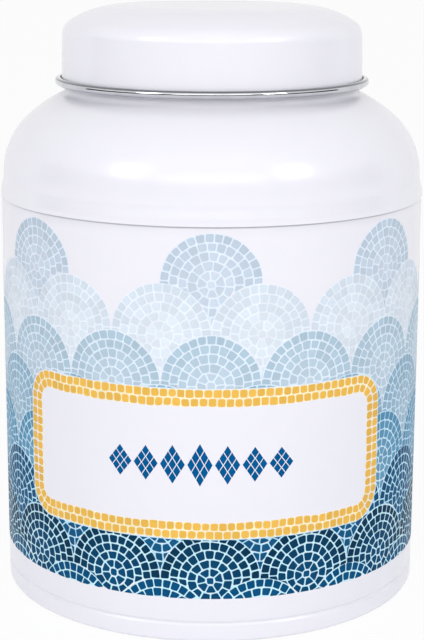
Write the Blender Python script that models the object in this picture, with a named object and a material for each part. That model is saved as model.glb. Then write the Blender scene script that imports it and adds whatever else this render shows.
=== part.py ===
"""A round tinplate canister with a domed shoulder and a slip-on lid.

Sizes are in metres and angles in degrees. The canister stands on z = 0, its axis is the Z axis
and its front faces -Y. Every sheet-metal piece is an outline of (radius, height) points that is
spun once round the axis. An outline starts from the line of the piece's lacquered face, drawn
from the middle or the top outwards and down, so that the metal always lies to its right.
"""
import math

import bmesh
import bpy
from mathutils import Vector

# Sheet, gaps and fineness
SHEET = 0.0003
CLEARANCE = 0.0003
SIDES = 48
ARC_TURN = 13.0
WIDE_ARC_TURN = 7.5
ROLL_TURN = 48.0
BLEND_STEPS = 3
SHARP_ANGLE = 38.0
WELD = 0.000001

# Wall: a rolled cylinder, drawn in a little under the shoulder's lip
WALL_RADIUS = 0.0600
LIP_HEIGHT = 0.1135
WAIST_DEPTH = 0.00045
WAIST_HEIGHT = 0.0015
PRINT_BOTTOM = 0.0126

# Foot of the wall: the groove that holds the base down and the roll that it stands on
GROOVE_HEIGHT = 0.0055
GROOVE_HALF_HEIGHT = 0.0008
GROOVE_DEPTH = 0.0004
FOOT_ROLL = 0.0013
FOOT_LAND = 0.0006
FOOT_LEG = 0.0016

# Side seam: the folded joint of the wall, flush outside and standing in at the back
SEAM_WIDTH = 0.0030
SEAM_DEPTH = 0.0009
SEAM_BITE = 0.00005
SEAM_MARGIN = 0.0020

# Base: a pressed disc whose flange is rolled up inside the foot
BASE_CORNER = 0.0008
BASE_LEG = 0.0010
PANEL_STEP_DEPTH = 0.0008
PANEL_STEP_WIDTH = 0.0030
PANEL_STEP_RADII = (0.0360, 0.0520)

# Shoulder: a pressed dome, flared at its lip to lap over the wall
SHOULDER_RADIUS = 0.0593
LAP_HEIGHT = 0.0006
FLARE_HEIGHT = 0.0050
SHOULDER_STRAIGHT = 0.0005
SHOULDER_ARC = 0.0208
SHOULDER_TURN = 48.0
CROWN_ARC = 0.0421

# Neck of the shoulder, with its raw edge rolled inwards
NECK_RADIUS = 0.0414
NECK_FILLET = 0.0024
NECK_STRAIGHT = 0.0151
NECK_ROLL = 0.00115
NECK_ROLL_END = 285.0

# Lid: a pressed cap that hangs on the neck's roll, with its raw edge curled outwards
LID_FIT = 0.0008
LID_DRAFT = 0.0003
LID_SKIRT = 0.01255
LID_CORNER_ARC = 0.0050
LID_CORNER_TURN = 58.0
LID_EDGE_ARC = 0.0270
LID_CROWN_ARC = 1.2000
LID_CROWN_TURN = 0.6
LID_CURL = 0.0011
LID_CURL_END = 475.0

# Sizes that follow from those above
FACE_TO_FACE = SHEET + CLEARANCE
LID_RADIUS = NECK_RADIUS + LID_FIT + SHEET
LIP_RADIUS = WALL_RADIUS - WAIST_DEPTH + FACE_TO_FACE
FLARE_BOTTOM = LIP_HEIGHT + LAP_HEIGHT
FLARE_TOP = FLARE_BOTTOM + FLARE_HEIGHT


def on_circle(centre, radius, angle):
    """The point of a circle that lies at an angle from the outward direction."""
    turn = math.radians(angle)
    return Vector((centre[0] + radius * math.cos(turn), centre[1] + radius * math.sin(turn)))


def arc(centre, radius, start, end, turn):
    """Points along an arc between two angles, one for each turn of so many degrees."""
    steps = max(1, round(abs(end - start) / turn))
    angles = [start + (end - start) * step / steps for step in range(steps + 1)]
    return [on_circle(centre, radius, angle) for angle in angles]


def blend(start, end, upright):
    """Points of a smooth step between two points, upright or level at both its ends."""
    points = []
    for step in range(BLEND_STEPS + 1):
        even = step / BLEND_STEPS
        eased = (1 - math.cos(math.pi * even)) / 2
        share = Vector((eased, even)) if upright else Vector((even, eased))
        points.append(Vector(start) + (Vector(end) - Vector(start)) * share)
    return points


def joined(*lines):
    """Several lines as one, without the points that two of them share."""
    points = [Vector(point) for line in lines for point in line]
    kept = [point for last, point in zip(points, points[1:]) if (point - last).length > WELD]
    return points[:1] + kept


def beside(line, distance):
    """A line moved square to itself, to its right-hand side."""
    moved = []
    for index, point in enumerate(line):
        after = line[index + 1] if index + 1 < len(line) else None
        before = line[index - 1] if index else None
        if before is None and point[0] == 0:
            before = Vector((-after[0], after[1]))
        headings = [(point - before).normalized() if before is not None else (after - point).normalized()]
        headings.append((after - point).normalized() if after is not None else headings[0])
        rights = [Vector((heading[1], -heading[0])) for heading in headings]
        middle = (rights[0] + rights[1]).normalized()
        moved.append(point + middle * (distance / middle.dot(rights[0])))
    return moved


def spun(shape, line):
    """Spins a line once round the Z axis and returns the faces that it made."""
    known = set(shape.faces)
    corners = [shape.verts.new((radius, 0, height)) for radius, height in line]
    edges = [shape.edges.new(pair) for pair in zip(corners, corners[1:])]
    bmesh.ops.spin(
        shape,
        geom=corners + edges,
        cent=(0, 0, 0),
        axis=(0, 0, 1),
        angle=math.tau,
        steps=SIDES,
        use_merge=True,
    )
    return [face for face in shape.faces if face not in known]


def turned_sheet(name, face, finishes):
    """A closed sheet-metal piece: its face line given the sheet's thickness and spun round the axis."""
    shape = bmesh.new()
    reverse = beside(face, SHEET)
    rims = [face[:1] if face[0][0] > 0 else [], face[-1:]]
    spun(shape, face)
    for made in spun(shape, rims[0] + reverse + rims[1]):
        made.material_index = 1
    bmesh.ops.remove_doubles(shape, verts=shape.verts, dist=WELD)
    bmesh.ops.recalc_face_normals(shape, faces=shape.faces)
    mesh = bpy.data.meshes.new(name)
    shape.to_mesh(mesh)
    shape.free()
    for coat in finishes:
        mesh.materials.append(coat)
    return placed(name, mesh)


def placed(name, mesh):
    """An object for a mesh, shaded smooth between its creases and linked to the scene."""
    mesh.shade_smooth()
    mesh.set_sharp_from_angle(angle=math.radians(SHARP_ANGLE))
    piece = bpy.data.objects.new(name, mesh)
    bpy.context.scene.collection.objects.link(piece)
    return piece


def finish(name, colour, roughness, metallic):
    """A material of one colour."""
    material = bpy.data.materials.new(name)
    material.use_nodes = True
    shader = material.node_tree.nodes["Principled BSDF"]
    shader.inputs["Base Color"].default_value = (*colour, 1)
    shader.inputs["Roughness"].default_value = roughness
    shader.inputs["Metallic"].default_value = metallic
    material.diffuse_color = (*colour, 1)
    return material


def lacquer(name):
    """White lacquer, baked on the outside of the sheet."""
    return finish(name, colour=(0.84, 0.84, 0.87), roughness=0.28, metallic=0.0)


def tinplate(name):
    """Bare tinplate, as on the inside of the sheet."""
    return finish(name, colour=(0.62, 0.62, 0.63), roughness=0.3, metallic=1.0)


def print_blue(name):
    """The blue print round the wall, as one middle tone."""
    return finish(name, colour=(0.13, 0.32, 0.48), roughness=0.3, metallic=0.0)


def lap_line():
    """The face of the shoulder's flared skirt, from above the flare down to the lip."""
    return joined(
        blend((SHOULDER_RADIUS, FLARE_TOP), (LIP_RADIUS, FLARE_BOTTOM), upright=True),
        [(LIP_RADIUS, LIP_HEIGHT)],
    )


def foot_roll(radius, leg):
    """The face of a roll at the foot: down, flat across the land, and up inside to a free leg."""
    outer = (WALL_RADIUS - FOOT_ROLL, FOOT_ROLL)
    inner = (outer[0] - FOOT_LAND, FOOT_ROLL)
    return joined(
        arc(outer, radius, 0, -90, ROLL_TURN),
        arc(inner, radius, -90, -180, ROLL_TURN),
        [(inner[0] - radius, FOOT_ROLL + leg)],
    )


def body_wall():
    """The rolled wall: tucked into the shoulder at its top and rolled in round the base at its foot."""
    tuck = beside(lap_line(), FACE_TO_FACE)
    print_top = LIP_HEIGHT - WAIST_HEIGHT
    groove = (WALL_RADIUS - GROOVE_DEPTH, GROOVE_HEIGHT)
    face = joined(
        [(tuck[0][0], tuck[0][1] + SHOULDER_STRAIGHT)],
        tuck,
        [(WALL_RADIUS - WAIST_DEPTH, LIP_HEIGHT), (WALL_RADIUS, print_top), (WALL_RADIUS, PRINT_BOTTOM)],
        blend((WALL_RADIUS, GROOVE_HEIGHT + GROOVE_HALF_HEIGHT), groove, upright=True),
        blend(groove, (WALL_RADIUS, GROOVE_HEIGHT - GROOVE_HALF_HEIGHT), upright=True),
        foot_roll(FOOT_ROLL, FOOT_LEG),
    )
    finishes = [lacquer("wall_lacquer"), tinplate("wall_tinplate"), print_blue("wall_print")]
    wall = turned_sheet("body_wall", face, finishes)
    for made in wall.data.polygons:
        if made.material_index == 0 and PRINT_BOTTOM < made.center[2] < print_top:
            made.material_index = 2
    return wall


def side_seam(wall):
    """The wall's folded side seam, fused to its inside at the back."""
    bottom = GROOVE_HEIGHT + GROOVE_HALF_HEIGHT + SEAM_MARGIN
    top = LIP_HEIGHT - WAIST_HEIGHT - SEAM_MARGIN
    outer = WALL_RADIUS - SHEET + SEAM_BITE
    inner = WALL_RADIUS - SHEET - SEAM_DEPTH
    shape = bmesh.new()
    bmesh.ops.create_cube(shape, size=1)
    bmesh.ops.scale(shape, vec=(SEAM_WIDTH, outer - inner, top - bottom), verts=shape.verts)
    bmesh.ops.translate(shape, vec=(0, (outer + inner) / 2, (top + bottom) / 2), verts=shape.verts)
    mesh = bpy.data.meshes.new("side_seam")
    shape.to_mesh(mesh)
    shape.free()
    seam = placed("side_seam", mesh)
    seam.hide_render = True
    seam.display_type = "WIRE"
    union = wall.modifiers.new("side_seam", "BOOLEAN")
    union.operation = "UNION"
    union.solver = "EXACT"
    union.object = seam
    return seam


def base_disc():
    """The pressed base: a stepped panel, a turned-down flange and the roll inside the foot."""
    height = GROOVE_HEIGHT - GROOVE_HALF_HEIGHT - CLEARANCE
    flange = WALL_RADIUS - FACE_TO_FACE
    inner, outer = PANEL_STEP_RADII
    sunk = height - PANEL_STEP_DEPTH
    face = joined(
        [(0, height)],
        blend((inner - PANEL_STEP_WIDTH, height), (inner, sunk), upright=False),
        blend((outer - PANEL_STEP_WIDTH, sunk), (outer, height), upright=False),
        arc((flange - BASE_CORNER, height - BASE_CORNER), BASE_CORNER, 90, 0, ROLL_TURN),
        foot_roll(FOOT_ROLL - FACE_TO_FACE, BASE_LEG),
    )
    return turned_sheet("base_disc", face, [tinplate("base_inside"), tinplate("base_underside")])


def shoulder_centres():
    """The centres of the shoulder's three tangent arcs: the bend, the crown and the neck's fillet."""
    bend = Vector((SHOULDER_RADIUS - SHOULDER_ARC, FLARE_TOP + SHOULDER_STRAIGHT))
    crown = on_circle(bend, SHOULDER_ARC - CROWN_ARC, SHOULDER_TURN)
    across = NECK_RADIUS + NECK_FILLET - crown[0]
    rise = math.sqrt((CROWN_ARC + NECK_FILLET) ** 2 - across ** 2)
    return bend, crown, crown + Vector((across, rise))


def neck_top():
    """The centre of the neck's roll, which the shoulder's arcs and the neck's height lead up to."""
    fillet = shoulder_centres()[2]
    return Vector((NECK_RADIUS - NECK_ROLL, fillet[1] + NECK_STRAIGHT))


def shoulder_dome():
    """The pressed shoulder, from the neck's inward roll down its crown and bend to the lapping lip."""
    bend, crown, fillet = shoulder_centres()
    slope = math.degrees(math.atan2(fillet[1] - crown[1], fillet[0] - crown[0]))
    face = joined(
        arc(neck_top(), NECK_ROLL, NECK_ROLL_END, 0, ROLL_TURN),
        arc(fillet, NECK_FILLET, 180, 180 + slope, ROLL_TURN / 2),
        arc(crown, CROWN_ARC, slope, SHOULDER_TURN, WIDE_ARC_TURN),
        arc(bend, SHOULDER_ARC, SHOULDER_TURN, 0, ARC_TURN),
        lap_line(),
    )
    finishes = [lacquer("shoulder_lacquer"), tinplate("shoulder_tinplate")]
    return turned_sheet("shoulder_dome", face, finishes)


def lid():
    """The lid: a low crown, a rounded corner, a drafted skirt, and the outward curl at its rim."""
    corner = Vector((LID_RADIUS - LID_DRAFT - LID_CORNER_ARC, LID_SKIRT))
    edge = on_circle(corner, LID_CORNER_ARC - LID_EDGE_ARC, LID_CORNER_TURN)
    lean = math.degrees(math.asin(edge[0] / (LID_CROWN_ARC - LID_EDGE_ARC)))
    crown = on_circle(edge, LID_EDGE_ARC - LID_CROWN_ARC, 90 - lean)
    curl = (LID_RADIUS + LID_CURL - SHEET, 0)
    face = joined(
        [(0, crown[1] + LID_CROWN_ARC)],
        arc(crown, LID_CROWN_ARC, 90, 90 - lean, LID_CROWN_TURN)[1:],
        arc(edge, LID_EDGE_ARC, 90 - lean, LID_CORNER_TURN, WIDE_ARC_TURN),
        arc(corner, LID_CORNER_ARC, LID_CORNER_TURN, 0, ARC_TURN),
        arc(curl, LID_CURL - SHEET, 180, LID_CURL_END, ROLL_TURN),
    )
    piece = turned_sheet("lid", face, [lacquer("lid_lacquer"), tinplate("lid_tinplate")])
    roll = neck_top()
    reach = LID_CORNER_ARC - FACE_TO_FACE - NECK_ROLL
    rise = math.sqrt(reach ** 2 - (roll[0] - corner[0]) ** 2)
    piece.location.z = roll[1] - rise - corner[1]
    return piece


def main():
    """Clears the scene and makes the four pieces, held by one empty at the middle of the foot."""
    for old in list(bpy.data.objects):
        bpy.data.objects.remove(old)
    centre = bpy.data.objects.new("canister_axis", None)
    bpy.context.scene.collection.objects.link(centre)
    wall = body_wall()
    for piece in (wall, side_seam(wall), base_disc(), shoulder_dome(), lid()):
        piece.parent = centre


main()
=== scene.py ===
"""The looks of a domed tinplate canister with a slip-on lid and a mosaic print.

The four sheets are turned afresh round the frame's solids, with finer sides and arcs. The mosaic,
the label's border and its ornament are thin tiles of ink, laid out flat and wrapped on the wall.
Lengths are in metres. The canister stands on z = 0 and its label faces -Y.
"""
import math
from functools import partial

import bpy
import numpy as np
from bpy.props import FloatProperty, FloatVectorProperty, IntProperty, PointerProperty
from mathutils import Matrix, Vector


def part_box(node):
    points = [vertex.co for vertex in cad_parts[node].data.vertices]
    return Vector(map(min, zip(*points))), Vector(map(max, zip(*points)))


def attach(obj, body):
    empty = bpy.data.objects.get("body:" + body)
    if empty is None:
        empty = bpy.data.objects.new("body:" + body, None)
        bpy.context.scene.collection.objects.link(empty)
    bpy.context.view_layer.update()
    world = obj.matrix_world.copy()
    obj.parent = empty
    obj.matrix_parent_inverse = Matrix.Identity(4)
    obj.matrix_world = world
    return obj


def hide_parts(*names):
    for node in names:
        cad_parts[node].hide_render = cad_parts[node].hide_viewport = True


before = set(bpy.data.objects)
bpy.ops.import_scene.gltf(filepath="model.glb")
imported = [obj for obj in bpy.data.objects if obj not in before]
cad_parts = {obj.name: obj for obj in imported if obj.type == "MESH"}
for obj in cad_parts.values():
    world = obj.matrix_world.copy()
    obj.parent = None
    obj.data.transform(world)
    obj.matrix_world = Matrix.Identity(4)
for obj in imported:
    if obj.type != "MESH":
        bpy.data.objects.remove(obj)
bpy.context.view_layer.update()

bl_info = {
    "name": "Tinplate canister",
    "version": (1, 0, 0),
    "blender": (4, 5, 0),
    "location": "3D View > Sidebar > Canister",
    "description": "Dresses a domed tinplate canister with lacquer, bare tin and a mosaic print",
    "category": "Add Mesh",
}

WALL_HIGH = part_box("body_wall")[1]
SHOULDER_LOW, SHOULDER_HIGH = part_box("shoulder_dome")
BASE_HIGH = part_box("base_disc")[1]
LID_LOW, LID_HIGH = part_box("lid")

# Sizes that the frame gives
WALL_RADIUS = WALL_HIGH.x
LIP_RADIUS = SHOULDER_HIGH.x
LIP_HEIGHT = SHOULDER_LOW.z
PANEL_HEIGHT = BASE_HIGH.z
RIM_RADIUS = LID_HIGH.x

# Sheet, gaps and fineness of the turned pieces
MM = 0.001
SHEET = 0.3 * MM
FACE_TO_FACE = 0.6 * MM
BLEND_STEPS = 8
ARC_DEGREES = 4.0
ROLL_DEGREES = 15.0
SHARP_DEGREES = 32.0
WELD = 0.001 * MM

# Wall: waist under the lip, groove over the foot and the rolled foot
WAIST_DEPTH = 0.45 * MM
WAIST_HEIGHT = 1.5 * MM
GROOVE_HEIGHT = 5.5 * MM
GROOVE_HALF_HEIGHT = 0.8 * MM
GROOVE_DEPTH = 0.4 * MM
FOOT_ROLL = 1.3 * MM
FOOT_LAND = 0.6 * MM
FOOT_LEG = 1.6 * MM

# Side seam of the wall, at the back
SEAM_WIDTH = 3.0 * MM
SEAM_DEPTH = 0.9 * MM
SEAM_STEP = 0.12 * MM
SEAM_EDGE = 0.25 * MM
SEAM_MARGIN = 2.0 * MM
SEAM_TURN = math.pi / 2
SEAM_BARE = 6.0 * MM

# Base
BASE_CORNER = 0.8 * MM
BASE_LEG = 1.0 * MM
PANEL_STEP_DEPTH = 0.8 * MM
PANEL_STEP_WIDTH = 3.0 * MM
PANEL_STEP_RADII = (36.0 * MM, 52.0 * MM)

# Shoulder and neck
SHOULDER_RADIUS = 59.3 * MM
LAP_HEIGHT = 0.6 * MM
FLARE_HEIGHT = 5.0 * MM
SHOULDER_STRAIGHT = 0.5 * MM
SHOULDER_ARC = 20.8 * MM
SHOULDER_TURN = 48.0
CROWN_ARC = 42.1 * MM
NECK_RADIUS = 41.4 * MM
NECK_FILLET = 2.4 * MM
NECK_STRAIGHT = 15.1 * MM
NECK_ROLL = 1.15 * MM
NECK_ROLL_END = 285.0

# Lid
LID_FIT = 0.8 * MM
LID_RADIUS = NECK_RADIUS + LID_FIT + SHEET
LID_CURL = 1.1 * MM
LID_CURL_END = 475.0
SKIRT_MARGIN = 0.4 * MM
LID_DRAFT = 0.3 * MM
LID_SKIRT = 12.55 * MM
LID_CORNER_ARC = 5.0 * MM
LID_CORNER_TURN = 58.0
LID_EDGE_ARC = 27.0 * MM
LID_CROWN_ARC = 1200.0 * MM

# Painted shade: rings of darker colour where shade falls, under the shoulder's lip and at the top
# and bottom of the lid's curl: the height of each, its reach up and down, and how deep its tone is
LIP_PAINTED_SHADE = ((LIP_HEIGHT - 0.18 * MM, 0.3 * MM, 0.3),)
CURL_PAINTED_SHADE = ((LID_LOW.z + 2 * LID_CURL - 0.26 * MM, 0.3 * MM, 1.0), (LID_LOW.z, 0.4 * MM, 0.5))

# Material indices of a turned sheet
FACE_SIDE, BACK_SIDE = 0, 1

# Inks of the mosaic's rows of fans from the top down: colour at a fan's rim, at its middle, of its grout
ROW_INKS = (
    ("frost_blue", "bfcedd", "cfdae8", "e3eefb"),
    ("haze_blue", "d5e0ec", "e0e9f2", "eaf2fb"),
    ("slate_blue", "afc7d7", "c2d4e2", "e0edfa"),
    ("sky_blue", "92b1c7", "a5c0d3", "d0e9fa"),
    ("steel_blue", "5892b5", "6ea1c0", "c6e6f9"),
    ("sea_blue", "114e76", "1b5d88", "b8e4fa"),
    ("navy_blue", "0b3653", "0d4f7a", "c4ecfb"),
    ("deep_blue", "0a4f7c", "0f5a88", "c8f0fc"),
)

# Tiles: the corners of one, and the ranges of its chances: its grout's share, its outline's power
# and its tone
TILE_CORNERS = 20
TILE_CHANCES = ((0.8, 1.35), (0.2, 0.4), (0.0, 1.0))
GOLD_CHANCES = ((0.8, 1.3), (0.25, 0.7), (0.0, 1.0))
THINNEST = 0.25
CORNER_STEPS = 24
STRAY_SIZE = 9.0 * MM
STRAY_GAIN = 6.0

# A row's two layers, inked tiles and the grout under them: fuller tiles, cut closer and less thick
TILE_LAYER = {"Roundness": 1.0, "Cut Share": 0.38}
GROUT_LAYER = {"Roundness": 0.4, "Cut Share": 0.48}
GROUT_SHARE = 0.4

# Lozenges: small ones along each side of one, their outline's power, and how far the end ones fall off
LOZENGE_SIDE = 3.0
LOZENGE_POWER = 2.0
LOZENGE_FALL = 0.3

# Noises: their detail, their mean, and the stretches of their values that ranges are drawn over
NOISE_DETAIL = 2.0
FINE_DETAIL = 3.0
NOISE_MEAN = (0.5, 0.5, 0.5)
WIDE_SPREAD = (0.2, 0.8)
MIDDLE_SPREAD = (0.3, 0.7)
NARROW_SPREAD = (0.35, 0.65)

# Finishes: lengths are sizes of patches, streaks and bumps, pairs are ranges, the rest are shares
COAT_PATCH = 5.0 * MM
COAT_THIN = 0.988
# Share of the colour left at the heart of a ring of painted shade
PAINTED_SHADE_DARK = 0.3
HANDLING_PATCH = 12.0 * MM
LACQUER_ROUGHNESS = (0.2, 0.24)
INK_ROUGHNESS = (0.3, 0.36)
PEBBLE_SIZE = 1.1 * MM
PEBBLE_HEIGHT = 0.004 * MM
PEBBLE_STRENGTH = 0.4
STREAK_WIDTH = 0.35 * MM
STREAK_STRETCH = 12.0
STREAK_HEIGHT = 0.006 * MM
STREAK_STRENGTH = 0.3
SPANGLE_SIZE = 5.0 * MM
TIN_ROUGHNESS = (0.06, 0.12)
TIN_DULL = 0.9
INK_TONES = (0.94, 1.06)
INK_MOTTLE = 0.5 * MM
INK_MOTTLING = (0.97, 1.03)

# Refraction of a clear film, and of one whose gloss the screened ink breaks up
COATED_IOR = 1.5
INK_IOR = 1.1

# Stage: the floor of paper, the card that only gloss sees, and lamps by name with place, size and watts
FLOOR_SIDE = 16.0
PAPER_FIBRE = 0.6 * MM
PAPER_ROUGHNESS = (0.75, 0.9)
PAPER_WHITE_SHARE = 0.92
CARD_BLACK = (0.01, 0.01, 0.01)
CARD_RADIUS = 0.65
CARD_HEIGHTS = (0.1, 0.33)
CARD_SWEEP = 200.0
CARD_STEPS = 20
LAMPS = (
    ("left_softbox", (-0.87, -0.78, 0.76), (0.36, 0.36), 2.9),
    ("right_softbox", (0.87, -0.78, 0.76), (0.36, 0.36), 2.9),
    ("overhead_softbox", (0.0, -0.95, 1.3), (1.8, 0.45), 1.4),
    ("front_softbox", (0.0, -1.35, 0.66), (1.5, 0.4), 3.8),
)

# Kinds of node, those of maths with their operation after a space
MATH = "ShaderNodeMath"
PLUS = MATH + " ADD"
MINUS = MATH + " SUBTRACT"
TIMES = MATH + " MULTIPLY"
OVER = MATH + " DIVIDE"
TIMES_PLUS = MATH + " MULTIPLY_ADD"
SIZE = MATH + " ABSOLUTE"
LARGER = MATH + " MAXIMUM"
SMALLER = MATH + " MINIMUM"
FLOOR = MATH + " FLOOR"
MODULO = MATH + " MODULO"
SINE = MATH + " SINE"
COSINE = MATH + " COSINE"
VECTOR = "ShaderNodeVectorMath"
VECTOR_PLUS = VECTOR + " ADD"
VECTOR_MINUS = VECTOR + " SUBTRACT"
SCALE = VECTOR + " SCALE"
NOISE = "ShaderNodeTexNoise"
RANGE = "ShaderNodeMapRange"
MIX = "ShaderNodeMix"
JOIN = "ShaderNodeCombineXYZ"
SPLIT = "ShaderNodeSeparateXYZ"

# Camera, matched to the photograph: its frame, focal length in pixels, place and turn
FRAME_PIXELS = (424, 640)
FOCAL_PIXELS = 1745.4
SENSOR = 36.0
CAMERA_PITCH = 13.26
CAMERA_ROLL = 0.2156
CAMERA_DISTANCE = 0.5109
CAMERA_TARGET = 75.15 * MM
CENTRE_PIXEL = 211.1


def linear(code):
    """The linear colour of an sRGB hex value."""
    parts = [int(code[place:place + 2], 16) / 255 for place in (0, 2, 4)]
    return [part / 12.92 if part <= 0.04045 else ((part + 0.055) / 1.055) ** 2.4 for part in parts]


def add(tree, kind, *values, **settings):
    """Adds a node with its settings, and its shown inputs in order as values or links.

    A kind may name an operation after a space. Returns the first output that shows.
    """
    kind, _, operation = kind.partition(" ")
    node = tree.nodes.new(kind)
    if operation:
        node.operation = operation
    for name, value in settings.items():
        setattr(node, name, value)
    for socket, value in zip([socket for socket in node.inputs if socket.enabled], values):
        give(tree, socket, value)
    return next((socket for socket in node.outputs if socket.enabled), None)


def give(tree, socket, value):
    """Gives a socket a value or a link, or leaves it as it is for None."""
    if isinstance(value, bpy.types.NodeSocket):
        tree.links.new(value, socket)
    elif value is not None:
        socket.default_value = (*value, 1) if socket.type == "RGBA" else value


def placed(name, data):
    """A new object in the scene for a mesh, a lamp or a camera."""
    thing = bpy.data.objects.new(name, data)
    bpy.context.scene.collection.objects.link(thing)
    return thing


# Properties of a kind
Length = partial(FloatProperty, unit="LENGTH")
Colour = partial(FloatVectorProperty, subtype="COLOR")


class CanisterSheets(bpy.types.PropertyGroup):
    """Fineness and colours of the four pressed and rolled sheets."""

    sides: IntProperty(name="Sides", description="Flat sides of a full turn", default=192, min=48, max=360)
    lacquer: Colour(name="Lacquer", description="Baked white lacquer", default=linear("efeef6"))
    tin: Colour(name="Tin", description="Bare tinplate", default=linear("cccdd3"))


class CanisterMosaic(bpy.types.PropertyGroup):
    """Layout of the fan mosaic round the wall."""

    columns: IntProperty(name="Columns", description="Fans in one row", default=14, min=6, max=30)
    rings: IntProperty(name="Rings", description="Rings of tiles in one fan", default=6, min=3, max=10)
    top: Length(name="Top", description="Height of the tops of the highest fans", default=112.0 * MM)
    bottom: Length(name="Bottom", description="Height where the print ends", default=12.6 * MM)
    grout: Length(name="Grout", description="Pale line between two tiles", default=0.34 * MM)
    ink: Length(name="Ink", description="How far a tile stands proud of the lacquer", default=0.03 * MM)
    wander: Length(name="Wander", description="How far a tile's corners stray", default=0.16 * MM)


class CanisterLabel(bpy.types.PropertyGroup):
    """Layout of the label's border and ornament."""

    width: Length(name="Width", description="Width of the border's outside", default=108.9 * MM)
    low: Length(name="Low", description="Height of the border's lower edge", default=29.4 * MM)
    high: Length(name="High", description="Height of the border's upper edge", default=70.7 * MM)
    corner: Length(name="Corner", description="Radius of the border's outer corners", default=8.6 * MM)
    across: Length(name="Across", description="How far right its middle lies", default=-2.8 * MM)
    tile: Length(name="Tile", description="Pitch of the border's tiles", default=2.35 * MM)
    row: Length(name="Row", description="Width of one of the border's two rows", default=2.4 * MM)
    lozenges: IntProperty(name="Lozenges", description="Lozenges in the ornament", default=7, min=1)
    lozenge_width: Length(name="Lozenge Width", description="Spacing of the lozenges", default=7.3 * MM)
    lozenge_height: Length(name="Lozenge Height", description="Height of the middle one", default=12.4 * MM)
    gold: Colour(name="Gold", description="Ink of the border", default=linear("edbb55"))
    blue: Colour(name="Blue", description="Ink of the ornament", default=linear("025891"))
    cream: Colour(name="Cream", description="Grout of the border", default=linear("fbf0ce"))


class CanisterStage(bpy.types.PropertyGroup):
    """Floor and light."""

    floor: Colour(name="Floor", description="Colour of the floor", default=linear("f7f7f9"))
    lamps: FloatProperty(name="Lamps", description="Strength of the lamps", default=1.0, min=0.0)
    sky: FloatProperty(name="Sky", description="Strength of the even light", default=0.58, min=0.0)


def on_circle(centre, radius, degrees):
    """The point of a circle that lies at an angle from the outward direction."""
    turn = math.radians(degrees)
    return Vector((centre[0] + radius * math.cos(turn), centre[1] + radius * math.sin(turn)))


def arc(centre, radius, start, end, spacing=ARC_DEGREES):
    """Points along an arc between two angles, no further apart than a spacing in degrees."""
    steps = max(2, math.ceil(abs(end - start) / spacing))
    return [on_circle(centre, radius, angle) for angle in np.linspace(start, end, steps + 1)]


def blend(start, end, upright):
    """Points of a smooth step between two points, upright or level at both its ends."""
    points = []
    for even in np.linspace(0, 1, BLEND_STEPS + 1):
        eased = (1 - math.cos(math.pi * even)) / 2
        share = Vector((eased, even)) if upright else Vector((even, eased))
        points.append(Vector(start) + (Vector(end) - Vector(start)) * share)
    return points


def joined(*lines):
    """Several lines as one, without the points that two of them share."""
    points = [Vector(point) for line in lines for point in line]
    kept = [point for last, point in zip(points, points[1:]) if (point - last).length > WELD]
    return points[:1] + kept


def beside(line, distance):
    """A line moved square to itself, to its right-hand side."""
    moved = []
    for index, point in enumerate(line):
        after = line[index + 1] if index + 1 < len(line) else None
        before = line[index - 1] if index else None
        if before is None and point[0] == 0:
            before = Vector((-after[0], after[1]))
        around = [place for place in (before, point, after) if place is not None]
        headings = [(there - here).normalized() for here, there in zip(around, around[1:])]
        rights = [Vector((heading[1], -heading[0])) for heading in headings]
        middle = (rights[0] + rights[-1]).normalized()
        moved.append(point + middle * (distance / middle.dot(rights[0])))
    return moved


def turned_piece(name, face, coats, body, extra_turns=(), shift=None):
    """A closed sheet: its face line given the sheet's thickness and carried round the axis.

    face runs from the top or the middle outwards and down, with the metal on its right.
    extra_turns are angles of upright sections besides the even ones, and shift moves the radii of
    the points at some angles.
    """
    sides = bpy.context.scene.canister_sheets.sides
    turns = np.unique(np.round(np.concatenate((np.arange(sides) / sides * math.tau, extra_turns)), 6))
    outline = face + beside(face, SHEET)[::-1]
    back = np.arange(len(outline)) >= len(face)
    radii, heights = np.array(outline).T[:, :, None] + np.zeros(len(turns))
    if shift is not None:
        radii = radii + shift(turns[None, :], heights, back[:, None])
    polar = np.stack((radii * np.cos(turns), radii * np.sin(turns), heights), axis=2)
    points, rows = [], []
    for ring in polar:
        on_axis = abs(ring[:, :2]).max() < WELD
        step = 0 if on_axis else 1
        rows.append([len(points) + step * turn for turn in range(len(turns))])
        points.extend(ring[:1] if on_axis else ring)
    ends = len(outline) - (1 if face[0][0] == 0 else 0)
    faces, marks = [], []
    for row in range(ends):
        here, there = rows[row], rows[(row + 1) % len(rows)]
        for turn in range(len(turns)):
            after = (turn + 1) % len(turns)
            corners = dict.fromkeys((here[turn], there[turn], there[after], here[after]))
            faces.append(list(corners))
            marks.append(BACK_SIDE if row >= len(face) - 1 else FACE_SIDE)
    mesh = bpy.data.meshes.new(name)
    mesh.from_pydata([tuple(point) for point in points], [], faces)
    for coat in coats:
        mesh.materials.append(coat)
    mesh.polygons.foreach_set("material_index", marks)
    mesh.update()
    mesh.shade_smooth()
    mesh.set_sharp_from_angle(angle=math.radians(SHARP_DEGREES))
    piece = placed(name, mesh)
    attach(piece, body)
    return piece


def support(high, low, margin):
    """The ends of a straight stretch, each with a second point that keeps the shading flat between."""
    along = (Vector(low) - Vector(high)).normalized() * margin
    return [Vector(high), Vector(high) + along, Vector(low) - along, Vector(low)]


def lap_line():
    """The face of the shoulder's flared skirt, from above the flare down to the lip."""
    flare_bottom = LIP_HEIGHT + LAP_HEIGHT
    flare = blend((SHOULDER_RADIUS, flare_bottom + FLARE_HEIGHT), (LIP_RADIUS, flare_bottom), upright=True)
    return joined(flare, [(LIP_RADIUS, LIP_HEIGHT)])


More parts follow.
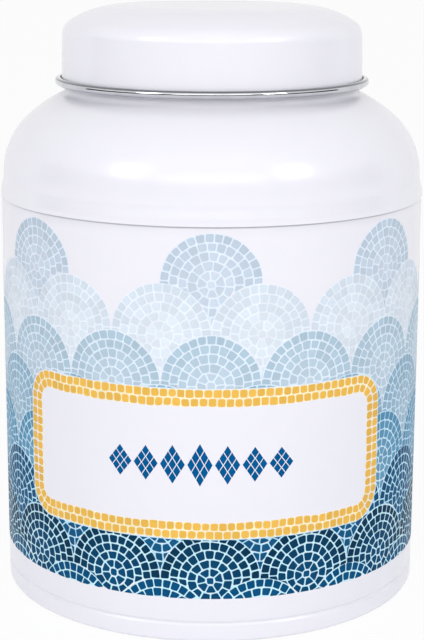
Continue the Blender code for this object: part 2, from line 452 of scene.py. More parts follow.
def foot_roll(radius, leg):
    """The face of a roll at the foot: down, flat across the land, and up inside to a free leg."""
    outer = (WALL_RADIUS - FOOT_ROLL, FOOT_ROLL)
    inner = (outer[0] - FOOT_LAND, FOOT_ROLL)
    return joined(
        arc(outer, radius, 0, -90, ROLL_DEGREES),
        arc(inner, radius, -90, -180, ROLL_DEGREES),
        [(inner[0] - radius, FOOT_ROLL + leg)],
    )


def wall_face():
    """The wall's printed face, from where it is tucked into the shoulder down to its rolled foot."""
    tuck = beside(lap_line(), FACE_TO_FACE)
    groove = (WALL_RADIUS - GROOVE_DEPTH, GROOVE_HEIGHT)
    groove_top = (WALL_RADIUS, GROOVE_HEIGHT + GROOVE_HALF_HEIGHT)
    return joined(
        [(tuck[0][0], tuck[0][1] + SHOULDER_STRAIGHT)],
        tuck,
        [(WALL_RADIUS - WAIST_DEPTH, LIP_HEIGHT)],
        support((WALL_RADIUS, LIP_HEIGHT - WAIST_HEIGHT), groove_top, SEAM_MARGIN),
        blend(groove_top, groove, upright=True),
        blend(groove, (WALL_RADIUS, GROOVE_HEIGHT - GROOVE_HALF_HEIGHT), upright=True),
        foot_roll(FOOT_ROLL, FOOT_LEG),
    )


def base_face():
    """The base's upper face: a stepped panel, a turned-down flange and the roll inside the foot."""
    flange = WALL_RADIUS - FACE_TO_FACE
    inner, outer = PANEL_STEP_RADII
    sunk = PANEL_HEIGHT - PANEL_STEP_DEPTH
    return joined(
        [(0, PANEL_HEIGHT)],
        blend((inner - PANEL_STEP_WIDTH, PANEL_HEIGHT), (inner, sunk), upright=False),
        blend((outer - PANEL_STEP_WIDTH, sunk), (outer, PANEL_HEIGHT), upright=False),
        arc((flange - BASE_CORNER, PANEL_HEIGHT - BASE_CORNER), BASE_CORNER, 90, 0, ROLL_DEGREES),
        foot_roll(FOOT_ROLL - FACE_TO_FACE, BASE_LEG),
    )


def shoulder_centres():
    """The centres of the shoulder's three tangent arcs: the bend, the crown and the neck's fillet."""
    bend_height = LIP_HEIGHT + LAP_HEIGHT + FLARE_HEIGHT + SHOULDER_STRAIGHT
    bend = Vector((SHOULDER_RADIUS - SHOULDER_ARC, bend_height))
    crown = on_circle(bend, SHOULDER_ARC - CROWN_ARC, SHOULDER_TURN)
    across = NECK_RADIUS + NECK_FILLET - crown[0]
    rise = math.sqrt((CROWN_ARC + NECK_FILLET) ** 2 - across ** 2)
    return bend, crown, crown + Vector((across, rise))


def neck_top():
    """The centre of the neck's roll."""
    return Vector((NECK_RADIUS - NECK_ROLL, shoulder_centres()[2][1] + NECK_STRAIGHT))


def shoulder_face():
    """The shoulder's face, from the neck's inward roll down its crown and bend to the lapping lip."""
    bend, crown, fillet = shoulder_centres()
    slope = math.degrees(math.atan2(fillet[1] - crown[1], fillet[0] - crown[0]))
    return joined(
        arc(neck_top(), NECK_ROLL, NECK_ROLL_END, 0, ROLL_DEGREES),
        arc(fillet, NECK_FILLET, 180, 180 + slope),
        arc(crown, CROWN_ARC, slope, SHOULDER_TURN, ARC_DEGREES / 2),
        arc(bend, SHOULDER_ARC, SHOULDER_TURN, 0),
        lap_line(),
    )


def lid_face():
    """The lid's face: a low crown, a rounded corner, a drafted skirt and the curl at its rim."""
    corner = Vector((LID_RADIUS - LID_DRAFT - LID_CORNER_ARC, LID_SKIRT))
    edge = on_circle(corner, LID_CORNER_ARC - LID_EDGE_ARC, LID_CORNER_TURN)
    lean = math.degrees(math.asin(edge[0] / (LID_CROWN_ARC - LID_EDGE_ARC)))
    crown = on_circle(edge, LID_EDGE_ARC - LID_CROWN_ARC, 90 - lean)
    face = joined(
        [(0, crown[1] + LID_CROWN_ARC)],
        arc(crown, LID_CROWN_ARC, 90, 90 - lean, ARC_DEGREES / 20)[1:],
        arc(edge, LID_EDGE_ARC, 90 - lean, LID_CORNER_TURN, ARC_DEGREES / 2),
        arc(corner, LID_CORNER_ARC, LID_CORNER_TURN, 0),
        support((LID_RADIUS - LID_DRAFT, LID_SKIRT), (LID_RADIUS, 0), SKIRT_MARGIN),
        arc((LID_RADIUS + LID_CURL - SHEET, 0), LID_CURL - SHEET, 180, LID_CURL_END, ROLL_DEGREES),
    )
    seat = Vector((0, LID_HIGH.z - face[0][1]))
    return [point + seat for point in face]


def seam_edges():
    """Where the side seam's band starts, is full and ends, measured round the wall from its middle."""
    half = SEAM_WIDTH / 2
    return np.array((-half - SEAM_EDGE, -half, half, half + SEAM_EDGE))


def seam_shift(turns, heights, back):
    """How far the side seam moves the wall in: a fine step outside and the folded band inside."""
    across = (turns - SEAM_TURN) * WALL_RADIUS
    low = GROOVE_HEIGHT + GROOVE_HALF_HEIGHT + SEAM_MARGIN
    along = (heights > low - WELD) & (heights < LIP_HEIGHT - WAIST_HEIGHT - SEAM_MARGIN + WELD)
    edges = seam_edges()
    step = np.interp(across, edges[:3], (0, SEAM_STEP, 0))
    band = np.interp(across, edges, (0, SEAM_DEPTH, SEAM_DEPTH, 0))
    return -np.where(along, np.where(back, band, step), 0)


def surface(name):
    """A new material, its tree and the place on the piece."""
    material = bpy.data.materials.new(name)
    material.use_nodes = True
    tree = material.node_tree
    place = add(tree, "ShaderNodeTexCoord").node.outputs["Object"]
    return material, tree, place


def shade(tree, **values):
    """Gives a material's shader its inputs, whose names have an underscore for a space."""
    for name, value in values.items():
        give(tree, tree.nodes["Principled BSDF"].inputs[name.replace("_", " ")], value)


def patchy(tree, place, size, spread, values, detail=NOISE_DETAIL):
    """A value that wanders over a range in patches of a real size."""
    noise = add(tree, NOISE, place, 1 / size, detail)
    return add(tree, RANGE, noise, *spread, *values)


def baked_film(name, roughness):
    """A baked film on rolled sheet: faintly pebbled, its gloss patchy where hands have been."""
    material, tree, place = surface(name)
    gloss = patchy(tree, place, HANDLING_PATCH, WIDE_SPREAD, roughness)
    pebbles = add(tree, NOISE, place, 1 / PEBBLE_SIZE, NOISE_DETAIL)
    bump = add(tree, "ShaderNodeBump", PEBBLE_STRENGTH, PEBBLE_HEIGHT, None, pebbles)
    shade(tree, Roughness=gloss, Normal=bump, IOR=COATED_IOR)
    return material, tree, place


def with_painted_shade(tree, height, coat, colour, shade_rings):
    """Paints shade into a coat's colour in rings, each with its height, its reach and its depth of tone."""
    deep = [part * PAINTED_SHADE_DARK for part in colour]
    for middle, reach, depth in shade_rings:
        distance = add(tree, SIZE, add(tree, MINUS, height, middle))
        share = add(tree, RANGE, distance, reach / 2, reach, depth, 0.0)
        coat = add(tree, MIX, share, coat, deep, data_type="RGBA")
    return coat


def white_lacquer(shade_rings=()):
    """Polyester lacquer, rolled on and baked: an even white, greyer where it is thin, and painted shade in
    rings.
    """
    material, tree, place = baked_film("baked_white_lacquer", LACQUER_ROUGHNESS)
    colour = bpy.context.scene.canister_sheets.lacquer
    share = patchy(tree, place, COAT_PATCH, WIDE_SPREAD, (0.0, 1.0))
    thin = [part * COAT_THIN for part in colour]
    coat = add(tree, MIX, share, colour, thin, data_type="RGBA")
    height = add(tree, SPLIT, place).node.outputs["Z"]
    # The lacquer's colour with shade painted into it in the rings given
    shade(tree, Base_Color=with_painted_shade(tree, height, coat, colour, shade_rings))
    return material


def bare_tinplate(shade_rings=()):
    """Bright tinplate, steel under melted tin: mirror-like, dull in patches, with streaks round it and
    painted shade in rings.
    """
    material, tree, place = surface("bright_bare_tinplate")
    colour = bpy.context.scene.canister_sheets.tin
    x, y, z = add(tree, SPLIT, place).node.outputs
    turn = add(tree, MATH + " ARCTAN2", y, x)
    round_it = add(tree, TIMES, turn, RIM_RADIUS / STREAK_STRETCH)
    outwards = add(tree, VECTOR + " LENGTH", add(tree, JOIN, x, y))
    laid = add(tree, JOIN, round_it, z, outwards)
    streaks = add(tree, NOISE, laid, 1 / STREAK_WIDTH, FINE_DETAIL)
    gloss = add(tree, RANGE, streaks, *MIDDLE_SPREAD, *TIN_ROUGHNESS)
    share = patchy(tree, place, SPANGLE_SIZE, NARROW_SPREAD, (0.0, 1.0))
    dull = [part * TIN_DULL for part in colour]
    tin = add(tree, MIX, share, colour, dull, data_type="RGBA")
    bump = add(tree, "ShaderNodeBump", STREAK_STRENGTH, STREAK_HEIGHT, None, streaks)
    # Shade painted into the tin's colour in rings, at the top and bottom of the lid's curl
    tin = with_painted_shade(tree, z, tin, colour, shade_rings)
    shade(tree, Base_Color=tin, Roughness=gloss, Normal=bump, Metallic=1.0)
    return material


def printing_ink(name, rim, middle):
    """Offset ink under a clear varnish: a flat colour for each tile, finely mottled by the screen."""
    material, tree, place = baked_film(name, INK_ROUGHNESS)
    share = add(tree, "ShaderNodeAttribute", attribute_name="middle").node.outputs["Fac"]
    tone = add(tree, "ShaderNodeAttribute", attribute_name="tone").node.outputs["Fac"]
    between = add(tree, MIX, share, rim, middle, data_type="RGBA")
    chance = add(tree, RANGE, tone, 0.0, 1.0, *INK_TONES)
    mottle = patchy(tree, place, INK_MOTTLE, MIDDLE_SPREAD, INK_MOTTLING)
    value = add(tree, TIMES, chance, mottle)
    ink = add(tree, "ShaderNodeHueSaturation", None, None, value, None, between)
    shade(tree, Base_Color=ink, IOR=INK_IOR)
    return material


def named_tree(name, **labels):
    """A new geometry tree with named inputs of each kind, and those inputs as its first node gives them."""
    tree = bpy.data.node_groups.new(name, "GeometryNodeTree")
    for kind, group in labels.items():
        for label in group:
            tree.interface.new_socket(label, in_out="INPUT", socket_type="NodeSocket" + kind)
    tree.interface.new_socket("Geometry", in_out="OUTPUT", socket_type="NodeSocketGeometry")
    return tree, add(tree, "NodeGroupInput").node.outputs


def numbered_points(tree, count):
    """Points at the origin, each with its number in the attribute tile, and that number."""
    line = add(tree, "GeometryNodeMeshLine", count, None, (0.0, 0.0, 0.0))
    index = add(tree, "GeometryNodeInputIndex")
    points = add(tree, "GeometryNodeStoreNamedAttribute", line, True, "tile", index, data_type="INT")
    return points, add(tree, "GeometryNodeInputNamedAttribute", "tile", data_type="INT")


def chances(tree, tile, seed, ranges):
    """One random value for each tile from each range, the same in every run."""
    values = []
    for number, (low, high) in enumerate(ranges):
        own_seed = add(tree, PLUS, seed, float(number))
        values.append(add(tree, "FunctionNodeRandomValue", low, high, tile, own_seed))
    return values


def tile_blanks(tree, points):
    """A flat round blank for each point, all at the origin, as real geometry."""
    blank = add(tree, "GeometryNodeMeshCylinder", TILE_CORNERS, 1, 1, 1.0, 1.0, fill_type="NGON")
    turn = (0.0, 0.0, math.pi / TILE_CORNERS)
    blanks = add(tree, "GeometryNodeInstanceOnPoints", points, True, blank, False, None, turn)
    return add(tree, "GeometryNodeRealizeInstances", blanks)


def place_in_blank(tree, power):
    """A corner's place in its blank, -0.5 to 0.5 each way: a low power makes the round one square."""
    x, y, z = add(tree, SPLIT, add(tree, "GeometryNodeInputPosition")).node.outputs
    pushed = []
    for part in (x, y):
        size = add(tree, SIZE, part)
        size = add(tree, MATH + " POWER", size, power)
        half = add(tree, TIMES, size, 0.5)
        sign = add(tree, MATH + " SIGN", part)
        pushed.append(add(tree, TIMES, sign, half))
    return (*pushed, z)


def strayed(tree, place, amount):
    """A flat place moved a little by a smooth noise, by which neighbouring tiles stray together."""
    cloud = add(tree, NOISE, place, 1 / STRAY_SIZE, NOISE_DETAIL).node.outputs["Color"]
    around = add(tree, VECTOR_MINUS, cloud, NOISE_MEAN)
    flat = add(tree, VECTOR + " MULTIPLY", around, (1.0, 1.0, 0.0))
    gain = add(tree, TIMES, amount, STRAY_GAIN)
    return add(tree, VECTOR_PLUS, place, add(tree, SCALE, flat, gain))


def kept_outside(tree, place, centre, reach):
    """A flat place moved straight away from a centre up to a reach, and how far outside it lay."""
    away = add(tree, VECTOR_MINUS, place, centre)
    far = add(tree, VECTOR + " LENGTH", away)
    heading = add(tree, VECTOR + " NORMALIZE", away)
    moved = add(tree, SCALE, heading, add(tree, LARGER, far, reach))
    room = add(tree, MINUS, far, reach)
    return add(tree, VECTOR_PLUS, centre, moved), room


def finish_tiles(tree, given, tiles, place, thick, values):
    """Wraps flat tiles on the wall, half sunk in its lacquer, and ends the tree."""
    across, height = add(tree, SPLIT, place).node.outputs[:2]
    turn = add(tree, OVER, across, given["Wall Radius"])
    lift = add(tree, TIMES, thick, 2.0)
    radius = add(tree, TIMES_PLUS, lift, given["Ink"], given["Wall Radius"])
    x = add(tree, TIMES, add(tree, SINE, turn), radius)
    forward = add(tree, TIMES, add(tree, COSINE, turn), radius)
    y = add(tree, TIMES, forward, -1.0)
    wrapped = add(tree, JOIN, x, y, height)
    tiles = add(tree, "GeometryNodeSetPosition", tiles, True, wrapped)
    for name, value in values.items():
        tiles = add(tree, "GeometryNodeStoreNamedAttribute", tiles, True, name, value, data_type="FLOAT")
    tiles = add(tree, "GeometryNodeRemoveAttribute", tiles, "tile")
    tiles = add(tree, "GeometryNodeRealizeInstances", tiles)
    tiles = add(tree, "GeometryNodeSetMaterial", tiles, True, given["Material"])
    add(tree, "NodeGroupOutput", tiles)
    return tree


def fan_row_tree():
    """One row of fans round the wall, each made of rings of tiles round one tile at its middle.

    Ring k starts at the fan's tile ceil(pi (k - 1/2)^2), so that all tiles have about one area.
    Tiles are cut where the next row's fans lie over them, where the print ends and at the label,
    and a tile whose own middle is well inside such a place is dropped.
    """
    tree, given = named_tree(
        "fan_row",
        Int=("Fans", "Rings", "Seed"),
        Float=(
            "Fan Radius", "Fan Spacing", "Row Height", "Wall Radius", "Print Low", "Seam Side",
            "Label Corner", "Grout", "Ink", "Roundness", "Cut Share", "Wander",
        ),
        Vector=("Label Middle", "Label Straight"),
        Material=("Material",),
    )
    node = partial(add, tree)
    fan = given["Fan Radius"]
    pitch = node(OVER, fan, node(MINUS, given["Rings"], 0.5))

    def first_tile(ring):
        """The number of a ring's first tile in its fan."""
        inner = node(MINUS, ring, 0.5)
        area = node(TIMES, node(TIMES, inner, inner), math.pi)
        outside = node(SMALLER, ring, 1.0)
        return node(TIMES, node(MATH + " CEIL", area), outside)

    in_fan = first_tile(given["Rings"])
    points, tile = numbered_points(tree, node(TIMES, given["Fans"], in_fan))

    # The fan, the ring and the slot of the ring that a tile is in
    number = node(FLOOR, node(OVER, tile, in_fan))
    inside = node(MODULO, tile, in_fan)
    radius = node(MATH + " SQRT", node(OVER, inside, math.pi))
    ring = node(MATH + " ROUND", radius)
    start = first_tile(ring)
    next_ring = node(PLUS, ring, 1.0)
    slots = node(MINUS, first_tile(next_ring), start)
    slot = node(MINUS, inside, start)
    ring_number = node(TIMES_PLUS, number, given["Rings"], ring)
    slot_turn = node("FunctionNodeRandomValue", 0.0, 1.0, ring_number, given["Seed"])
    slot = node(PLUS, slot, slot_turn)
    slot_angle = node(OVER, math.tau, slots)
    looser, power, tone = chances(tree, tile, given["Seed"], TILE_CHANCES)
    power = node(TIMES, power, given["Roundness"])
    grout = node(TIMES, given["Grout"], looser)

    # The fan's middle in the flat print
    last = node(MINUS, given["Fans"], 1.0)
    from_middle = node(TIMES_PLUS, last, -0.5, number)
    across = node(TIMES, from_middle, given["Fan Spacing"])
    middle = node(JOIN, across, given["Row Height"])

    def in_print(along, out):
        """The flat place of a point of a tile."""
        solid = node(MINUS, 1.0, node(OVER, grout, pitch))
        radius = node(TIMES, node(TIMES_PLUS, out, solid, ring), pitch)
        length = node(TIMES, radius, slot_angle)
        fill = node(MINUS, 1.0, node(OVER, grout, length))
        fill = node(LARGER, fill, THINNEST)
        back = node(TIMES, node(TIMES, along, fill), -1.0)
        angle = node(TIMES, node(PLUS, slot, back), slot_angle)
        cosine, sine = node(COSINE, angle), node(SINE, angle)
        spoke = node(SCALE, node(JOIN, cosine, sine), radius)
        heading = node(VECTOR + " NORMALIZE", node(JOIN, along, out))
        half = node(TIMES, node(MINUS, pitch, grout), 0.5)
        own = node(SCALE, heading, half)
        in_ring = node("FunctionNodeCompare", ring, 0.5, operation="GREATER_THAN")
        arm = node("GeometryNodeSwitch", in_ring, own, spoke, input_type="VECTOR")
        return strayed(tree, node(VECTOR_PLUS, middle, arm), given["Wander"])

    def cut(place):
        """A flat place moved out of all that cuts the row, and the least room that it had there."""
        reach = node(TIMES_PLUS, grout, 0.5, fan)
        rooms = []
        for side in (-1.0, 1.0):
            step = node(TIMES, fan, side)
            below = node(JOIN, step, node(TIMES, fan, -1.0))
            below = node(VECTOR_PLUS, middle, below)
            place, room = kept_outside(tree, place, below, reach)
            rooms.append(room)
        away = node(VECTOR_MINUS, place, given["Label Middle"])
        low_corner = node(SCALE, given["Label Straight"], -1.0)
        nearest = node(VECTOR + " MAXIMUM", away, low_corner)
        nearest = node(VECTOR + " MINIMUM", nearest, given["Label Straight"])
        nearest = node(VECTOR_PLUS, nearest, given["Label Middle"])
        reach = node(TIMES_PLUS, grout, 0.5, given["Label Corner"])
        place, room = kept_outside(tree, place, nearest, reach)
        rooms.append(room)
        across, height = node(SPLIT, place).node.outputs[:2]
        rooms.append(node(MINUS, height, given["Print Low"]))
        round_it = node(SIZE, across)
        rooms.append(node(MINUS, given["Seam Side"], round_it))
        other_side = node(TIMES, given["Seam Side"], -1.0)
        across = node("ShaderNodeClamp", across, other_side, given["Seam Side"])
        height = node(LARGER, height, given["Print Low"])
        least = rooms[0]
        for room in rooms[1:]:
            least = node(SMALLER, least, room)
        return node(JOIN, across, height), least

    spare = node(TIMES, pitch, node(TIMES, given["Cut Share"], -1.0))
    room = cut(in_print(0.0, 0.0))[1]
    dropped = node("FunctionNodeCompare", room, spare, operation="LESS_THAN")
    points = node("GeometryNodeDeleteGeometry", points, dropped)
    tiles = tile_blanks(tree, points)
    along, out, thick = place_in_blank(tree, power)
    place = cut(in_print(along, out))[0]
    last_ring = node(MINUS, given["Rings"], 1.0)
    inwards = node(MINUS, 1.0, node(OVER, ring, last_ring))
    return finish_tiles(tree, given, tiles, place, thick, {"tone": tone, "middle": inwards})


def label_border_tree():
    """One row of tiles along a rounded rectangle on the wall."""
    tree, given = named_tree(
        "label_border",
        Float=("Width", "Height", "Corner", "Tile", "Row", "Wall Radius", "Grout", "Ink", "Wander"),
        Vector=("Label Middle",),
        Int=("Seed",),
        Material=("Material",),
    )
    node = partial(add, tree)
    path = node("GeometryNodeCurvePrimitiveQuadrilateral", given["Width"], given["Height"])
    path = node("GeometryNodeFilletCurve", path, CORNER_STEPS, given["Corner"], mode="POLY")
    count = node(OVER, node("GeometryNodeCurveLength", path), given["Tile"])
    count = node(MATH + " ROUND", count)
    points, tile = numbered_points(tree, count)
    looser, power, tone = chances(tree, tile, given["Seed"], GOLD_CHANCES)
    grout = node(TIMES, given["Grout"], looser)
    tiles = tile_blanks(tree, points)
    along, out, thick = place_in_blank(tree, power)
    fill = node(MINUS, 1.0, node(OVER, grout, given["Tile"]))
    middle = node(PLUS, tile, 0.5)
    factor = node(OVER, node(TIMES_PLUS, along, fill, middle), count)
    sampled = node("GeometryNodeSampleCurve", path, None, factor, mode="FACTOR").node.outputs
    ahead_x, ahead_y = node(SPLIT, sampled["Tangent"]).node.outputs[:2]
    left = node(JOIN, node(TIMES, ahead_y, -1.0), ahead_x)
    width = node(MINUS, given["Row"], grout)
    left = node(SCALE, left, node(TIMES, out, width))
    place = node(VECTOR_PLUS, node(VECTOR_PLUS, sampled["Position"], left), given["Label Middle"])
    place = strayed(tree, place, given["Wander"])
    return finish_tiles(tree, given, tiles, place, thick, {"tone": tone, "middle": 0.5})


def lozenge_row_tree():
    """A row of lozenges on the wall, the tallest in the middle, each made of small ones."""
    tree, given = named_tree(
        "lozenge_row",
        Int=("Lozenges", "Seed"),
        Float=("Spacing", "Tallest", "Wall Radius", "Grout", "Ink"),
        Vector=("Label Middle",),
        Material=("Material",),
    )
    node = partial(add, tree)
    cells, middle_cell = LOZENGE_SIDE ** 2, (LOZENGE_SIDE - 1) / 2
    points, tile = numbered_points(tree, node(TIMES, given["Lozenges"], cells))
    number = node(FLOOR, node(OVER, tile, cells))
    cell = node(MODULO, tile, cells)
    row = node(MINUS, node(FLOOR, node(OVER, cell, LOZENGE_SIDE)), middle_cell)
    column = node(MINUS, node(MODULO, cell, LOZENGE_SIDE), middle_cell)
    tone = chances(tree, tile, given["Seed"], TILE_CHANCES)[2]
    last = node(MINUS, given["Lozenges"], 1.0)
    from_middle = node(TIMES_PLUS, last, -0.5, number)
    end_share = node(OVER, from_middle, node(TIMES, given["Lozenges"], 0.5))
    drop = node(TIMES_PLUS, node(SIZE, end_share), -LOZENGE_FALL, 1.0)
    tall = node(TIMES, given["Tallest"], drop)
    tiles = tile_blanks(tree, points)
    along, out, thick = place_in_blank(tree, LOZENGE_POWER)
    places = []
    for size, part, step in (
        (given["Spacing"], along, node(PLUS, row, column)),
        (tall, out, node(MINUS, row, column)),
    ):
        pitch = node(OVER, node(MINUS, size, given["Grout"]), LOZENGE_SIDE)
        small = node(MINUS, pitch, given["Grout"])
        centre = node(TIMES, node(TIMES, pitch, 0.5), step)
        places.append(node(TIMES_PLUS, part, small, centre))
    across = node(TIMES_PLUS, from_middle, given["Spacing"], places[0])
    place = node(JOIN, across, places[1])
    place = node(VECTOR_PLUS, place, given["Label Middle"])
    return finish_tiles(tree, given, tiles, place, thick, {"tone": tone, "middle": 0.5})


def grown(name, tree, body, inputs):
    """Makes a piece that rides on a body from the plain mesh that a geometry tree gives for its inputs."""
    piece = placed(name, bpy.data.meshes.new(name))
    modifier = piece.modifiers.new(name, "NODES")
    modifier.node_group = tree
    for item in tree.interface.items_tree:
        if item.in_out == "INPUT":
            modifier[item.identifier] = inputs[item.name]
    graph = bpy.context.evaluated_depsgraph_get()
    made = bpy.data.meshes.new_from_object(
        piece.evaluated_get(graph), preserve_all_data_layers=True, depsgraph=graph
    )
    if not made.polygons:
        raise RuntimeError(name + " came out empty")
    piece.modifiers.remove(modifier)
    piece.data = made
    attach(piece, body)


class CANISTER_OT_wall(bpy.types.Operator):
    """Rolls the printed wall, with its side seam at the back, its groove and its foot"""

    bl_idname = "canister.wall"
    bl_label = "Wall"

    def execute(self, context):
        # The lacquer gets painted shade in a ring just under the shoulder's lip
        coats = [white_lacquer(LIP_PAINTED_SHADE), bare_tinplate()]
        turns = SEAM_TURN + seam_edges() / WALL_RADIUS
        wall = turned_piece(
            "printed_wall", wall_face(), coats, "canister", turns, seam_shift
        )
        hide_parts("body_wall")
        return {"FINISHED"}


class CANISTER_OT_base(bpy.types.Operator):
    """Presses the base, which is rolled up inside the wall's foot"""

    bl_idname = "canister.base"
    bl_label = "Base"

    def execute(self, context):
        tin = bare_tinplate()
        base = turned_piece("pressed_base", base_face(), [tin, tin], "canister")
        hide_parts("base_disc")
        return {"FINISHED"}


class CANISTER_OT_shoulder(bpy.types.Operator):
    """Presses the domed shoulder, with its neck and its lapping lip"""

    bl_idname = "canister.shoulder"
    bl_label = "Shoulder"

    def execute(self, context):
        # The lacquer gets painted shade in a ring at the lip
        coats = [white_lacquer(LIP_PAINTED_SHADE), bare_tinplate()]
        dome = turned_piece("domed_shoulder", shoulder_face(), coats, "canister")
        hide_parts("shoulder_dome")
        return {"FINISHED"}


class CANISTER_OT_lid(bpy.types.Operator):
    """Presses the slip-on lid, with the outward curl of bare tin at its rim"""

    bl_idname = "canister.lid"
    bl_label = "Lid"

    def execute(self, context):
        # The tin of the curl gets painted shade in rings at its top and bottom
        coats = [white_lacquer(), bare_tinplate(CURL_PAINTED_SHADE)]
        lid = turned_piece("slip_on_lid", lid_face(), coats, "lid")
        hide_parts("lid")
        return {"FINISHED"}


class CANISTER_OT_mosaic(bpy.types.Operator):
    """Prints the mosaic of fans round the wall, one piece for each row of fans"""

    bl_idname = "canister.mosaic"
    bl_label = "Mosaic"

    def execute(self, context):
        mosaic, label = context.scene.canister_mosaic, context.scene.canister_label
        fan = math.pi * WALL_RADIUS / mosaic.columns
        straight_half = [size / 2 - label.corner for size in (label.width, label.high - label.low)]
        tree = fan_row_tree()
        for row, ink in enumerate(ROW_INKS):
            # The top row has every second fan, and odd rows stand between the fans of even ones
            step = 2 if row == 0 else 1
            fans = mosaic.columns // 2 if row == 0 else mosaic.columns + (row + 1) % 2
            name, *colours = ink
            rim, middle, grout = [linear(colour) for colour in colours]
            shared = {
                "Fans": fans,
                "Rings": mosaic.rings,
                "Fan Radius": fan,
                "Fan Spacing": 2 * fan * step,
                "Row Height": mosaic.top - fan * (row + 1),
                "Wall Radius": WALL_RADIUS,
                "Print Low": mosaic.bottom,
                "Seam Side": math.pi * WALL_RADIUS - SEAM_BARE / 2,
                "Label Middle": label_middle(label),
                "Label Straight": (*straight_half, 0.0),
                "Label Corner": label.corner,
                "Wander": mosaic.wander,
                "Seed": row * len(TILE_CHANCES),
            }
            grown(f"mosaic_row_{row + 1}", tree, "canister", {
                **shared,
                **TILE_LAYER,
                "Grout": mosaic.grout,
                "Ink": mosaic.ink,
                "Material": printing_ink(name + "_ink", rim, middle),
            })
            grown(f"grout_row_{row + 1}", tree, "canister", {
                **shared,
                **GROUT_LAYER,
                "Grout": 0.0,
                "Ink": mosaic.ink * GROUT_SHARE,
                "Material": printing_ink(name + "_grout", grout, grout),
            })
        return {"FINISHED"}


class CANISTER_OT_label(bpy.types.Operator):
    """Prints the label's border of two rows of tiles and its row of lozenges"""

    bl_idname = "canister.label"
    bl_label = "Label"

    def execute(self, context):
        mosaic, label = context.scene.canister_mosaic, context.scene.canister_label
        gold = printing_ink("ochre_gold_ink", label.gold, label.gold)
        cream = printing_ink("cream_grout", label.cream, label.cream)
        shared = {"Label Middle": label_middle(label), "Wall Radius": WALL_RADIUS}
        tree = label_border_tree()
        for number, (name, inset, row, grout, ink, material) in enumerate((
            ("border_outer_tiles", label.row * 0.5, label.row, mosaic.grout, mosaic.ink, gold),
            ("border_inner_tiles", label.row * 1.5, label.row, mosaic.grout, mosaic.ink, gold),
            ("border_grout", label.row, label.row * 2, 0.0, mosaic.ink * GROUT_SHARE, cream),
        )):
            grown(name, tree, "canister", {
                **shared,
                "Width": label.width - 2 * inset,
                "Height": label.high - label.low - 2 * inset,
                "Corner": label.corner - inset,
                "Tile": label.tile,
                "Row": row,
                "Grout": grout,
                "Ink": ink,
                "Wander": mosaic.wander,
                "Seed": number * len(GOLD_CHANCES),
                "Material": material,
            })
        blue = printing_ink("lozenge_blue_ink", label.blue, label.blue)
        grown("lozenge_ornament", lozenge_row_tree(), "canister", {
            **shared,
            "Grout": mosaic.grout,
            "Ink": mosaic.ink,
            "Lozenges": label.lozenges,
            "Spacing": label.lozenge_width,
            "Tallest": label.lozenge_height,
            "Seed": 0,
            "Material": blue,
        })
        return {"FINISHED"}


def label_middle(label):
    """The middle of the label in the flat print."""
    return (label.across, (label.low + label.high) / 2, 0.0)


def stage_sheet(name, points, faces, material):
    """A part of the stage."""
    mesh = bpy.data.meshes.new(name)
    mesh.from_pydata(points, [], faces)
    mesh.materials.append(material)
    sheet = placed(name, mesh)
    return sheet


def seen_directly(tree):
    """One for a ray from the camera, from gloss or through glass, and nought for the light's own."""
    paths = add(tree, "ShaderNodeLightPath").node.outputs
    straight = add(tree, PLUS, paths["Is Camera Ray"], paths["Is Glossy Ray"])
    return add(tree, PLUS, straight, paths["Is Transmission Ray"])


def pale_floor(colour):
    """Matt white paper. What the camera sees of it is mostly plain white, with some of its shadow."""
    material, tree, place = surface("matt_white_paper")
    rough = patchy(tree, place, PAPER_FIBRE, MIDDLE_SPREAD, PAPER_ROUGHNESS, FINE_DETAIL)
    shade(tree, Base_Color=colour, Roughness=rough)
    white = add(tree, "ShaderNodeEmission", (1.0, 1.0, 1.0), 1.0)
    share = add(tree, TIMES, seen_directly(tree), PAPER_WHITE_SHARE)
    mixed = add(tree, "ShaderNodeMixShader", share, tree.nodes["Principled BSDF"].outputs[0], white)
    tree.links.new(mixed, tree.nodes["Material Output"].inputs["Surface"])
    return material


def dark_card():
    """A black card bent round the front, which only gloss sees, as the dark line in polished metal."""
    material, tree = surface("black_card")[:2]
    shade(tree, Base_Color=CARD_BLACK, Roughness=1.0)
    turns = [math.radians(CARD_SWEEP * (step / CARD_STEPS - 0.5)) for step in range(CARD_STEPS + 1)]
    points = [
        (CARD_RADIUS * math.sin(turn), -CARD_RADIUS * math.cos(turn), height)
        for height in CARD_HEIGHTS
        for turn in turns
    ]
    count = len(turns)
    faces = [(step, step + count, step + count + 1, step + 1) for step in range(CARD_STEPS)]
    card = stage_sheet("black_card", points, faces, material)
    card.visible_camera = card.visible_diffuse = card.visible_shadow = False


def studio_sky(strength):
    """Even light from all round, that the camera sees as white."""
    world = bpy.data.worlds.new("studio_sky")
    bpy.context.scene.world = world
    world.use_nodes = True
    tree = world.node_tree
    shown = add(tree, LARGER, strength, seen_directly(tree))
    background = tree.nodes["Background"].inputs
    background["Color"].default_value = (1, 1, 1, 1)
    tree.links.new(shown, background["Strength"])


def softbox(name, place, size, power):
    """A rectangular lamp turned towards the object."""
    lamp = bpy.data.lights.new(name, "AREA")
    lamp.shape = "RECTANGLE"
    lamp.size, lamp.size_y = size
    lamp.energy = power
    box = placed(name, lamp)
    box.location = place
    aim = Vector((0, 0, CAMERA_TARGET)) - Vector(place)
    box.rotation_euler = aim.to_track_quat("-Z", "Y").to_euler()


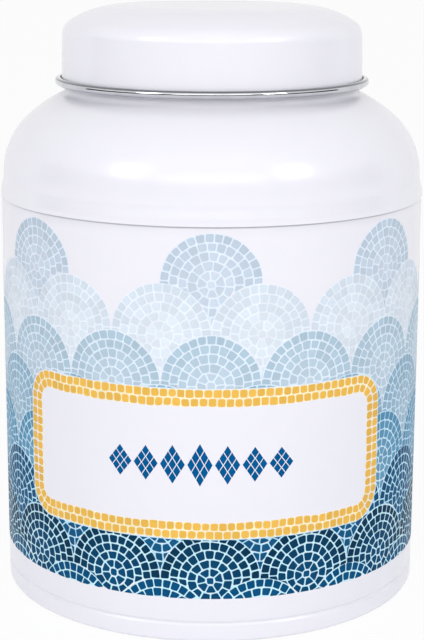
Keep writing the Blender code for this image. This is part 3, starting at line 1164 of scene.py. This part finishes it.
def photo_camera():
    """The camera where the photograph was taken from, with its focal length, turn and shift."""
    pitch = math.radians(CAMERA_PITCH)
    lens = bpy.data.cameras.new("photo_camera")
    long_side = max(FRAME_PIXELS)
    lens.sensor_width = SENSOR
    lens.lens = SENSOR * FOCAL_PIXELS / long_side
    lens.shift_x = (FRAME_PIXELS[0] / 2 - CENTRE_PIXEL) / long_side
    camera = placed("photo_camera", lens)
    away = Vector((0, -math.cos(pitch), math.sin(pitch))) * CAMERA_DISTANCE
    camera.location = Vector((0, 0, CAMERA_TARGET)) + away
    level = Matrix.Rotation(math.pi / 2 - pitch, 3, "X")
    camera.rotation_euler = (level @ Matrix.Rotation(math.radians(CAMERA_ROLL), 3, "Z")).to_euler()
    bpy.context.scene.camera = camera


class CANISTER_OT_stage(bpy.types.Operator):
    """Sets the floor, the light and the camera"""

    bl_idname = "canister.stage"
    bl_label = "Stage"

    def execute(self, context):
        stage = context.scene.canister_stage
        half = FLOOR_SIDE / 2
        corners = [(-half, -half, 0), (half, -half, 0), (half, half, 0), (-half, half, 0)]
        stage_sheet("floor", corners, [(0, 1, 2, 3)], pale_floor(stage.floor))
        dark_card()
        studio_sky(stage.sky)
        for name, place, size, power in LAMPS:
            softbox(name, place, size, power * stage.lamps)
        photo_camera()
        context.scene.view_settings.view_transform = "Standard"
        return {"FINISHED"}


class CANISTER_PT_panel(bpy.types.Panel):
    """Lists the canister's settings and steps"""

    bl_idname = "CANISTER_PT_panel"
    bl_label = "Canister"
    bl_space_type = "VIEW_3D"
    bl_region_type = "UI"
    bl_category = "Canister"

    def draw(self, context):
        for name, group in GROUPS.items():
            box = self.layout.box()
            for key in group.__annotations__:
                box.prop(getattr(context.scene, name), key)
        for step in STEPS:
            self.layout.operator(step.bl_idname)


GROUPS = {
    "canister_sheets": CanisterSheets,
    "canister_mosaic": CanisterMosaic,
    "canister_label": CanisterLabel,
    "canister_stage": CanisterStage,
}
STEPS = (
    CANISTER_OT_wall,
    CANISTER_OT_base,
    CANISTER_OT_shoulder,
    CANISTER_OT_lid,
    CANISTER_OT_mosaic,
    CANISTER_OT_label,
    CANISTER_OT_stage,
)


def register():
    """Registers the property groups, the operators and the panel."""
    for kind in (*GROUPS.values(), *STEPS, CANISTER_PT_panel):
        bpy.utils.register_class(kind)
    for name, group in GROUPS.items():
        setattr(bpy.types.Scene, name, PointerProperty(type=group))


def unregister():
    """Takes out what register put in."""
    for name in GROUPS:
        delattr(bpy.types.Scene, name)
    for kind in (CANISTER_PT_panel, *reversed(STEPS), *reversed(GROUPS.values())):
        bpy.utils.unregister_class(kind)


def main():
    """Makes every piece and the stage."""
    register()
    bpy.ops.canister.wall()
    bpy.ops.canister.base()
    bpy.ops.canister.shoulder()
    bpy.ops.canister.lid()
    bpy.ops.canister.mosaic()
    bpy.ops.canister.label()
    bpy.ops.canister.stage()


if __name__ == "__main__":
    main()
